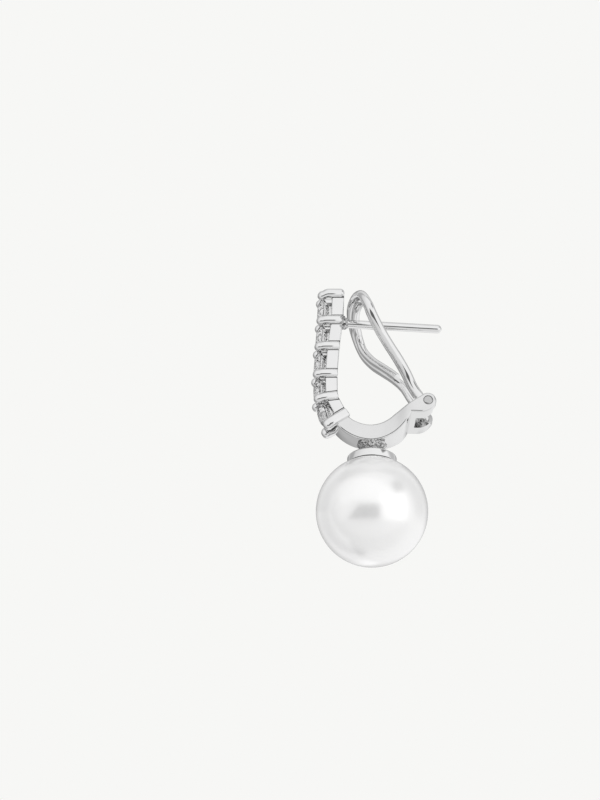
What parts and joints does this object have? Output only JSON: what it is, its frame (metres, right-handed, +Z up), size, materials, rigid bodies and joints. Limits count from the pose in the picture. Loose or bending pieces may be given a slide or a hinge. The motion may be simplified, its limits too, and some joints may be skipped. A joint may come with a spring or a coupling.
{
  "type": "pearl earring",
  "caption": "A drop earring for a pierced ear: a curved strap carries claw-set brilliants in front, a pearl below, and behind them an ear post with a hinged wire clip.",
  "frame": {"origin": "on the ear post's axis at the back of the setting, where the ear lobe sits", "axes": "+Z up along the drop, -Y to the front where the stones face, +Y to the back along the post, +X to the right seen from the front"},
  "size_m": [0.01, 0.0116, 0.0263],
  "materials": {
    "metal": "bright polish",
    "stone": "brilliant cut",
    "pearl": "nacre lustre"
  },
  "bodies": {
    "earring": {"setting_frame": "metal", "stone_1": "stone", "stone_2": "stone", "stone_3": "stone", "stone_4": "stone", "stone_5": "stone", "pearl": "pearl"},
    "clip": {"clip_wire": "metal"}
  },
  "joints": [
    {"name": "clip_swing", "type": "hinge", "parent": "earring", "child": "clip", "pos_m": [0, 0.00714, -0.00834], "axis": [-1, 0, 0], "range_deg": [0, 100]}
  ]
}
